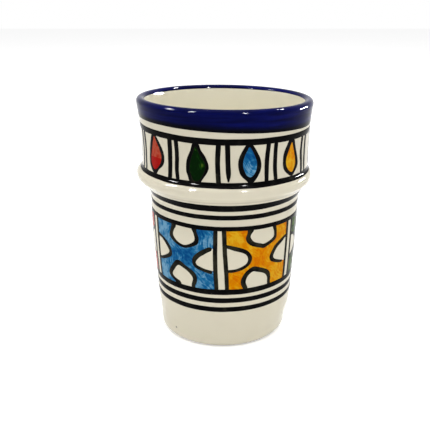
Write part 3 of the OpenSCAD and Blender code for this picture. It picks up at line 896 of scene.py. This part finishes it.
def tin_glaze(name, shade, upper, gloss, crease_shade_and_tint):
    """Opaque white tin glaze: glossy, a little uneven in tone where it pooled, with a few iron specks and,
    as asked for, painted shade above the belt and in the crease under it.
    """
    material, tree, shader, where = finish(name)
    pool = add(tree, NOISE, {"Vector": where, "Scale": 1 / (24 * MM), "Detail": 2.0})
    height = add(tree, SEPARATE, (where,)).outputs["Z"]
    # Painted shade: the white is greyer above the belt.
    shade_above_belt = add(tree, SPREAD, {
        "Value": height, "From Min": BELT_H, "From Max": BELT_H + 8 * MM, "To Min": 0.5, "To Max": upper})
    depth = add(tree, MIX, {0: 0.3, 2: shade_above_belt, 3: pool}, data_type="FLOAT")
    tone = add(tree, RAMP, (depth,), stops=((0.0, [0.76 * c for c in shade]), (0.5, list(shade))))
    # Painted shade in the crease under the belt, darker and browner, where the glaze also lies thin and the
    # clay tints it.
    beside = add(tree, MATH, (height, CREASE_H), "SUBTRACT")
    beside = add(tree, MATH, (beside,), "ABSOLUTE")
    tint = add(tree, SPREAD, {
        "Value": beside, "From Min": 0.2 * MM, "From Max": 0.9 * MM, "To Min": crease_shade_and_tint, "To Max": 0.0})
    tone = add(tree, MIX, {0: tint, 6: tone, 7: IRON_AND_CREASE_SHADE}, data_type="RGBA").outputs[2]
    nearest = None
    for speck in SPECKS:
        gap = add(tree, VECTOR, (where, speck), "DISTANCE").outputs["Value"]
        nearest = add(tree, MATH, (gap, nearest), "MINIMUM") if nearest else gap
    iron = add(tree, SPREAD, {
        "Value": nearest, "From Min": 0.3 * MM, "From Max": 0.75 * MM, "To Min": 0.65, "To Max": 0.0})
    spotted = add(tree, MIX, {0: iron, 6: tone, 7: IRON_AND_CREASE_SHADE}, data_type="RGBA")
    rippled(tree, shader, where, 3.5 * MM)
    fired(tree, shader, spotted.outputs[2], roughness=0.07, gloss=gloss, bloom=0.28, spread=0.18)
    return material


def cobalt_glaze():
    """Cobalt under a clear gloss: deep navy, brushed round the lip, nearly black at its gathered edge."""
    cobalt = bpy.context.scene.cup_colours.cobalt
    material, tree, shader, where = finish("cobalt_gloss")
    long_way = add(tree, "ShaderNodeMapping", {"Vector": where, "Scale": (0.3, 0.3, 4)})
    strokes = add(tree, NOISE, {"Vector": long_way, "Scale": 1 / (8 * MM), "Detail": 3.0})
    tone = add(tree, RAMP, (strokes,), stops=(
        (0.35, [0.7 * c for c in cobalt]), (0.68, [min(1, 1.9 * c) for c in cobalt])))
    depth = add(tree, ATTRIBUTE, attribute_name="depth")
    edge = add(tree, SPREAD, {
        "Value": depth.outputs["Fac"], "From Min": 1.1 * MM, "From Max": 3 * MM,
        "To Min": 0.95, "To Max": 0.0})
    gathered = add(tree, MIX, {0: edge, 6: tone, 7: (*linear("040406"), 1)}, data_type="RGBA")
    rippled(tree, shader, where, 4 * MM)
    fired(tree, shader, gathered.outputs[2], roughness=0.06, gloss=PAINT_GLOSS, bloom=0.3, spread=0.3)
    return material


def black_paint():
    """Manganese black fired into the glaze: glossy, dense along the stroke, browner at its thin edges."""
    black = bpy.context.scene.cup_colours.black
    material, tree, shader, where = finish(PAINTS["black"])
    load = add(tree, NOISE, {"Vector": where, "Scale": 1 / (5 * MM), "Detail": 3.0})
    water = add(tree, ATTRIBUTE, attribute_name="thinness")
    load = add(tree, MATH, (load, water.outputs["Fac"]), "ADD")
    tone = add(tree, RAMP, (load,), stops=(
        (0.42, list(black)), (0.6, linear("0C0C0C")), (0.8, linear("2A291F"))))
    depth = add(tree, ATTRIBUTE, attribute_name="depth")
    edge = add(tree, SPREAD, {
        "Value": depth.outputs["Fac"], "From Min": 0.0, "From Max": 0.2 * MM,
        "To Min": 0.35, "To Max": 0.0})
    thin = add(tree, MIX, {0: edge, 6: tone, 7: (*linear("3C352C"), 1)}, data_type="RGBA")
    fired(tree, shader, thin.outputs[2], roughness=0.08, gloss=PAINT_GLOSS, bloom=0.28, spread=0.16)
    return material


def brushed_colour(name, thick, thin):
    """Coloured oxide brushed on as a wash: deep where it pooled, pale and streaked where it ran dry."""
    material, tree, shader, where = finish(name)
    blots = add(tree, NOISE, {"Vector": where, "Scale": 1 / (2.8 * MM), "Detail": 2.0, "Distortion": 0.8})
    pools = add(tree, SPREAD, {"Value": blots, "From Min": 0.3, "From Max": 0.7})
    # The brush's hairs leave streaks on the unrolled wall, upright in some places and slanted in others.
    x, y, z = add(tree, SEPARATE, (where,)).outputs
    turn = add(tree, MATH, (x, add(tree, MATH, (y, -1.0), "MULTIPLY")), "ARCTAN2")
    across = add(tree, MATH, (turn, bpy.context.scene.cup_shape.unroll_radius), "MULTIPLY")
    unrolled = add(tree, COMBINE, (across, z))
    sway = add(tree, NOISE, {"Vector": where, "Scale": 1 / (7 * MM), "Detail": 0.0})
    bent = add(tree, VECTOR, (sway.outputs["Color"], (5 * MM, 5 * MM, 0), unrolled), "MULTIPLY_ADD")
    strokes = []
    for slant in (0.1, -0.85):
        along = add(tree, "ShaderNodeMapping", {"Vector": bent, "Rotation": (0, 0, slant)})
        drawn_out = add(tree, VECTOR, (along, (1, 0.16, 1)), "MULTIPLY")
        strokes.append(add(tree, NOISE, {"Vector": drawn_out, "Scale": 1 / (0.9 * MM), "Detail": 1.0}))
    patches = add(tree, NOISE, {"Vector": where, "W": 2.0, "Scale": 1 / (9 * MM), "Detail": 0.0},
                  noise_dimensions="4D")
    which = add(tree, SPREAD, {"Value": patches, "From Min": 0.44, "From Max": 0.56})
    streaks = add(tree, MIX, {0: which, 2: strokes[0], 3: strokes[1]}, data_type="FLOAT")
    hairs = add(tree, SPREAD, {"Value": streaks, "From Min": 0.3, "From Max": 0.7})
    water = add(tree, MIX, {0: 0.48, 2: pools, 3: hairs}, data_type="FLOAT")
    drawn = add(tree, ATTRIBUTE, attribute_name="thinness")
    thinness = add(tree, MIX, {0: 0.6, 2: drawn.outputs["Fac"], 3: water}, data_type="FLOAT")
    middle = [math.sqrt(a * b) for a, b in zip(thick, thin)]
    tone = add(tree, RAMP, (thinness,), stops=((0.28, list(thick)), (0.48, middle), (0.7, list(thin))))
    fired(tree, shader, tone, roughness=0.08, gloss=PAINT_GLOSS, bloom=0.5, spread=0.1)
    return material


def paint(tint):
    """The paint of that tint, made when it is first asked for."""
    made = bpy.data.materials.get(PAINTS[tint])
    if made:
        return made
    if tint == "black":
        return black_paint()
    colours = bpy.context.scene.cup_colours
    return brushed_colour(PAINTS[tint], getattr(colours, tint), getattr(colours, tint + "_thin"))


# Helpers for the stage


def emptied(owner):
    """Emptied node tree of a material or world."""
    owner.use_nodes = True
    owner.node_tree.nodes.clear()
    return owner.node_tree


def in_view(tree):
    """1 for what the camera sees, also in gloss, and 0 for what only lights the cup."""
    path = add(tree, "ShaderNodeLightPath").outputs
    seen = add(tree, MATH, (path["Is Camera Ray"], path["Is Glossy Ray"]), "MAXIMUM")
    return add(tree, MATH, (seen, path["Is Transmission Ray"]), "MAXIMUM")


def aimed(name, data, height, turn, rise, reach):
    """New object that looks at a height on the axis, from a turn off the front, a rise and a distance."""
    way = Vector((math.sin(turn) * math.cos(rise), -math.cos(turn) * math.cos(rise), math.sin(rise)))
    made = placed(name, data)
    made.location = Vector((0, 0, height)) + reach * way
    made.rotation_euler = way.to_track_quat("Z", "Y").to_euler()
    return made


# Operators


class CUP_OT_clay(bpy.types.Operator):
    """Turns the thrown clay body with its foot ring."""
    bl_idname = "cup.clay"
    bl_label = "Clay body"

    def execute(self, context):
        mesh = turned("clay_body_turned", section("clay_body"), False)
        mesh.set_sharp_from_angle(angle=CLAY_SHARP)
        piece("clay_body_turned", mesh, bare_clay(), "clay", "clay_body")
        return {"FINISHED"}


class CUP_OT_glaze(bpy.types.Operator):
    """Dips the white glaze coats inside and outside."""
    bl_idname = "cup.glaze"
    bl_label = "White glaze coats"

    def execute(self, context):
        step = context.scene.cup_shape.wall_step
        colours = context.scene.cup_colours
        outer = spline(GROUND[:GROUND_FOOT + 1], step).tolist() + list(GROUND[GROUND_FOOT + 1:])
        # Outside, the white gets painted shade above the belt and in the crease under it.
        piece("ground_glaze_coat", turned("ground_glaze_coat", outer, True),
              tin_glaze("tin_glaze", colours.white, upper=0.3, gloss=0.1, crease_shade_and_tint=0.2),
              "white_glaze", "ground_glaze")
        # The liner's lighter white is painted light for the shaded inside.
        inner = spline(LINER[:LINER_CREST + 1], step).tolist() + list(LINER[LINER_CREST + 1:])
        piece("liner_glaze_coat", turned("liner_glaze_coat", inner, False),
              tin_glaze("tin_glaze_liner", colours.liner, upper=0.5, gloss=0.35, crease_shade_and_tint=0.0),
              "white_glaze", "liner_glaze")
        return {"FINISHED"}


class CUP_OT_rim(bpy.types.Operator):
    """Dips the cobalt band over the lip."""
    bl_idname = "cup.rim"
    bl_label = "Cobalt lip"

    def execute(self, context):
        shape = context.scene.cup_shape
        outside = spline(GROUND[:GROUND_FOOT + 1], RIM_STEP)
        inside = spline(LINER[:LINER_CREST + 1], RIM_STEP)
        line = np.vstack([outside[::-1], inside[-2::-1]])
        way = lengths(line)[1]
        crest = int(np.argmax(line[:, 1]))
        a = turns()
        wander = sum(np.sin(k * a + RIM_PHASE * k * k) / k for k in RIM_WAVES)
        low = (low_of("rim_glaze") - shape.rim_drop + shape.rim_tilt * np.sin(a)
               + RIM_HAND * shape.hand * wander)
        inner_low = (CUP_H - (RIM_INSIDE - RIM_INSIDE_CHANGE * np.sin(a) ** 2) * MM
                     + RIM_INSIDE_HAND * shape.hand * np.roll(wander, RIM_INSIDE_TURN))
        start = np.interp(low, line[:crest, 1], way[:crest])
        end = np.interp(-inner_low, -line[crest:, 1], way[crest:])
        shares = 0.5 - 0.5 * np.cos(np.linspace(0, math.pi, RIM_ROWS))
        places = start[None, :] + (end - start)[None, :] * shares[:, None]
        r, z = (np.interp(places, way, line[:, i]) for i in (0, 1))
        slope = np.gradient(line, way, axis=0)
        out_r, out_z = (np.interp(places, way, s) for s in (slope[:, 1], -slope[:, 0]))
        depth = np.minimum(places - start, end - places)
        lift = raised(depth, shape.paint_skin, RIM_FULLNESS * shape.paint_rise)
        top = thrown(r + out_r * lift, z + out_z * lift, a[None, :])
        bed = thrown(r - out_r * shape.paint_bed, z - out_z * shape.paint_bed, a[None, :])
        mesh = ring_mesh("rim_glaze_coat", np.concatenate([top, bed[::-1]]), True)
        mesh.set_sharp_from_angle(angle=PAINT_SHARP)
        low_edge = np.concatenate([places - start, (places - start)[::-1]]).reshape(-1)
        mark(mesh, "depth", low_edge)
        piece("rim_glaze_coat", mesh, cobalt_glaze(), "cobalt_glaze", "rim_glaze")
        return {"FINISHED"}


class CUP_OT_bands(bpy.types.Operator):
    """Brushes the black bands and lines round the cup."""
    bl_idname = "cup.bands"
    bl_label = "Bands and lines"

    def execute(self, context):
        for node in BAND_EDGES:
            zone = (low_of(node), high_of(node), 0.0, 0.0)
            brushed(node, [lay(ring_strip(node), [(0, 1)], zone, "black")], "black")
        return {"FINISHED"}


class CUP_OT_frieze(bpy.types.Operator):
    """Brushes the row of drops, their outlines and the pairs of strokes between them."""
    bl_idname = "cup.frieze"
    bl_label = "Row of drops"

    def execute(self, context):
        zone = tilt_between("frieze_bottom_band", "frieze_top_band")
        outlines = []
        for number, name in enumerate(DROP_COLOURS):
            edge, colour_edge = (closed_line(line, zone, DROP_STEP) for line in DROPS[name])
            x, y = grid_over(edge)
            outer, inner = from_loop(x, y, edge), from_loop(x, y, colour_edge)
            above, below, height, soft = DROP_WASHES[name]

            def thinness(points):
                change = blend_up(points[:, 1], (height - soft) * MM, (height + soft) * MM)
                return below + (above - below) * change + dabbed(points, DROP_DABS.get(name, ()))

            own = DROP_TURNS[number]
            places = [(turn, 1) for turn in DROP_TURNS[number::len(DROP_COLOURS)]]
            outline = centred(patch(x, y, np.maximum(outer, -inner)), own)
            outlines.append(lay(outline, places, zone, "black"))
            wash = centred(patch(x, y, inner, thinness), own)
            brushed(name + "_drops", [lay(wash, places, zone, name)], name)
        brushed("drop_outlines", outlines, "black")
        pairs = []
        for number, pair in enumerate(STROKE_PAIRS):
            places = [(turn, 1) for turn, kind in STROKE_TURNS if kind == number]
            drawing = centred(patch(*strokes_field(pair, zone)), places[0][0])
            pairs.append(lay(drawing, places, zone, "black"))
        brushed("frieze_strokes", pairs, "black")
        return {"FINISHED"}


class CUP_OT_panels(bpy.types.Operator):
    """Brushes the panels, the outlines of their bare ovals and the lines between them."""
    bl_idname = "cup.panels"
    bl_label = "Panels"

    def execute(self, context):
        zone = tilt_between("panel_bottom_band", "panel_top_band")
        low, high = zone[:2]
        ends = DIVIDER_TURNS + (DIVIDER_TURNS[0] + 360,)
        middles = [(a + b) / 2 for a, b in zip(ends, ends[1:])]
        spans = [b - a for a, b in zip(ends, ends[1:])]
        outlines, fields = [], {}
        for name, ovals in PANEL_OVALS.items():
            own = DRAWN_PANELS[name]
            middle, span = middles[own], spans[own]
            middle = middle - 360 if middle > 180 else middle
            loops = [[closed_line(line, zone, PANEL_STEP) for line in oval] for oval in ovals]
            sides = flat([(middle - span / 2 + PANEL_INSET, 0), (middle + span / 2 - PANEL_INSET, 0)])[:, 0]
            x, y = grid_over([(sides[0], low), (sides[1], high)])
            within = np.maximum(np.abs(x - sides.mean()) - 0.5 * (sides[1] - sides[0]),
                                np.maximum(low - y, y - high) - PANEL_OVERLAP)
            outer, bare = (np.minimum.reduce([from_loop(x, y, oval[i]) for oval in loops]) for i in (0, 1))
            outline = np.maximum.reduce(
                [outer - OUTLINE_OUTSIDE, -bare - OUTLINE_INSIDE, within - OUTLINE_OVERLAP])
            wash = np.maximum.reduce([within, -outer, -bare])
            dabs = PANEL_DABS[name]
            wash = patch(x, y, wash, lambda points: PANEL_THINNESS + dabbed(points, dabs))
            fields[name] = centred(wash, middle)
            places = [(middles[i], spans[i] / span) for i in range(own % 2, len(spans), 2)]
            outline = watered(centred(patch(x, y, outline), middle), OUTLINE_WATER)
            outlines.append(lay(outline, places, zone, "black"))
        brushed("panel_outlines", outlines, "black")
        for name in ("blue", "orange", "green", "red"):
            tint = "yellow" if name == "orange" else name
            laid = []
            for i, panel_colour in enumerate(PANEL_COLOURS):
                if panel_colour == name:
                    kind = "first" if i % 2 else "second"
                    place = middles[i], spans[i] / spans[DRAWN_PANELS[kind]]
                    laid.append(lay(fields[kind], [place], zone, tint))
            brushed(name + "_panels", laid, tint)
        dividers = []
        for name, pair in DIVIDERS.items():
            places = [(turn, 1) for turn in (DIVIDER_TURNS[:1] if name == "front" else DIVIDER_TURNS[1:])]
            drawing = watered(centred(patch(*strokes_field(pair, zone)), places[0][0]), DIVIDER_WATER)
            dividers.append(lay(drawing, places, zone, "black"))
        brushed("panel_dividers", dividers, "black")
        return {"FINISHED"}


class CUP_OT_stage(bpy.types.Operator):
    """Sets the floor, the light and the camera."""
    bl_idname = "cup.stage"
    bl_label = "Stage"

    def execute(self, context):
        scene = context.scene
        stage = scene.cup_stage
        scene.view_settings.view_transform = "Standard"

        mesh = bpy.data.meshes.new("floor")
        corners = [(x * FLOOR_HALF, y * FLOOR_HALF, 0) for x, y in ((-1, -1), (1, -1), (1, 1), (-1, 1))]
        mesh.from_pydata(corners, [], [(0, 1, 2, 3)])
        floor = placed("floor", mesh)
        # Pale matt paper that shows white to the eye and in reflections, and keeps the cup's shadow
        material = bpy.data.materials.new("white_paper")
        tree = emptied(material)
        glow = add(tree, MATH, (in_view(tree), PAPER_GLOW), "MULTIPLY")
        matt = add(tree, "ShaderNodeBsdfDiffuse", {"Color": (PAPER_GREY, PAPER_GREY, PAPER_GREY, 1)})
        white = add(tree, "ShaderNodeEmission", {"Color": (1, 1, 1, 1), "Strength": glow})
        both = add(tree, "ShaderNodeAddShader", (matt, white))
        add(tree, "ShaderNodeOutputMaterial", (both,))
        mesh.materials.append(material)

        scene.world = bpy.data.worlds.new("studio")
        tree = emptied(scene.world)
        level = add(tree, SPREAD, {"Value": in_view(tree), "To Min": stage.fill, "To Max": 1.0})
        light = add(tree, "ShaderNodeBackground", {"Color": (1, 1, 1, 1), "Strength": level})
        add(tree, "ShaderNodeOutputWorld", (light,))

        overhead = bpy.data.lights.new("overhead", "AREA")
        overhead.size, overhead.energy = OVERHEAD_SIZE, stage.overhead
        placed("overhead", overhead).location = (0, 0, OVERHEAD_H)

        for index, (turn, rise, width, tall) in enumerate(LAMPS):
            lamp = bpy.data.lights.new(f"lamp_{index}", "AREA")
            lamp.shape = "RECTANGLE"
            lamp.size, lamp.size_y = width, tall
            lamp.energy = stage.lamp * math.pi * width * tall
            holder = aimed(lamp.name, lamp, BELT_H, math.radians(turn), math.radians(rise), 1)
            holder.visible_diffuse = False

        view = bpy.data.cameras.new("camera")
        view.lens, view.sensor_width = stage.lens, SENSOR
        view.shift_x, view.clip_start = stage.shift, NEAREST
        scene.camera = aimed("camera", view, stage.target, 0, stage.drop, stage.distance)
        return {"FINISHED"}


class CUP_PT_sidebar(bpy.types.Panel):
    """Lists the cup's pieces and settings."""
    bl_label = "Painted cup"
    bl_idname = "CUP_PT_sidebar"
    bl_space_type = "VIEW_3D"
    bl_region_type = "UI"
    bl_category = "Cup"

    def draw(self, context):
        for operator in OPERATORS:
            self.layout.operator(operator.bl_idname)
        for group in (context.scene.cup_shape, context.scene.cup_colours, context.scene.cup_stage):
            box = self.layout.box()
            for key in group.__annotations__:
                box.prop(group, key)


OPERATORS = (CUP_OT_clay, CUP_OT_glaze, CUP_OT_rim, CUP_OT_bands, CUP_OT_frieze, CUP_OT_panels,
             CUP_OT_stage)
CLASSES = (CupShape, CupColours, CupStage, *OPERATORS, CUP_PT_sidebar)


def register():
    for kind in CLASSES:
        bpy.utils.register_class(kind)
    bpy.types.Scene.cup_shape = PointerProperty(type=CupShape)
    bpy.types.Scene.cup_colours = PointerProperty(type=CupColours)
    bpy.types.Scene.cup_stage = PointerProperty(type=CupStage)


def unregister():
    del bpy.types.Scene.cup_stage, bpy.types.Scene.cup_colours, bpy.types.Scene.cup_shape
    for kind in reversed(CLASSES):
        bpy.utils.unregister_class(kind)


def main():
    register()
    bpy.ops.cup.clay()
    bpy.ops.cup.glaze()
    bpy.ops.cup.rim()
    bpy.ops.cup.bands()
    bpy.ops.cup.frieze()
    bpy.ops.cup.panels()
    bpy.ops.cup.stage()


if __name__ == "__main__":
    main()
